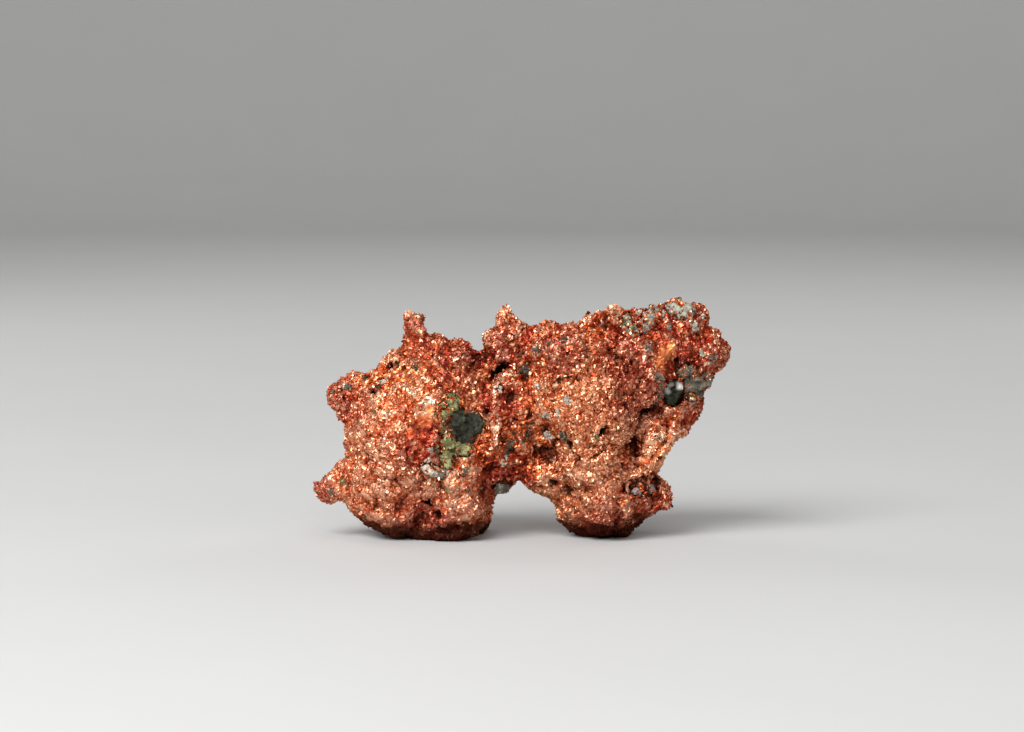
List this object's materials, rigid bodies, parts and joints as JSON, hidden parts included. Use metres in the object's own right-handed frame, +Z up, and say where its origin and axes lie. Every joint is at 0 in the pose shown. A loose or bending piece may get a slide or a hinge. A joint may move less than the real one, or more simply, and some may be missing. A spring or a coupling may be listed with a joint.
{
  "type": "native copper nugget",
  "caption": "Knobbly natural copper specimen that stands on two rounded feet with an arch between them, with green, grey and white mineral grains grown into its surface.",
  "frame": {"origin": "on the surface it stands on, under the middle of its box", "axes": "+X along the nugget from the spur to the shoulder, +Y from the front to the back, +Z up"},
  "size_m": [0.0602, 0.0222, 0.0347],
  "materials": {
    "native_copper": "granular, crystalline, metallic",
    "chlorite": "dull, dark green-grey",
    "epidote": "pale green, sugary",
    "glassy_green": "glassy, dark green",
    "quartz": "translucent grey, glassy",
    "calcite": "whitish, sugary"
  },
  "bodies": {
    "root": {"copper_mass": "native_copper", "chlorite_pocket": "chlorite", "epidote_streak": "epidote", "epidote_cap": "epidote", "epidote_edge": "epidote", "calcite_streak": "calcite", "calcite_bleb": "calcite", "green_crystal": "glassy_green", "quartz_cluster": "quartz", "calcite_crest": "calcite", "calcite_edge": "calcite", "quartz_under_bridge": "quartz", "quartz_in_hook": "quartz", "quartz_beside_hook": "quartz"}
  },
  "joints": []
}
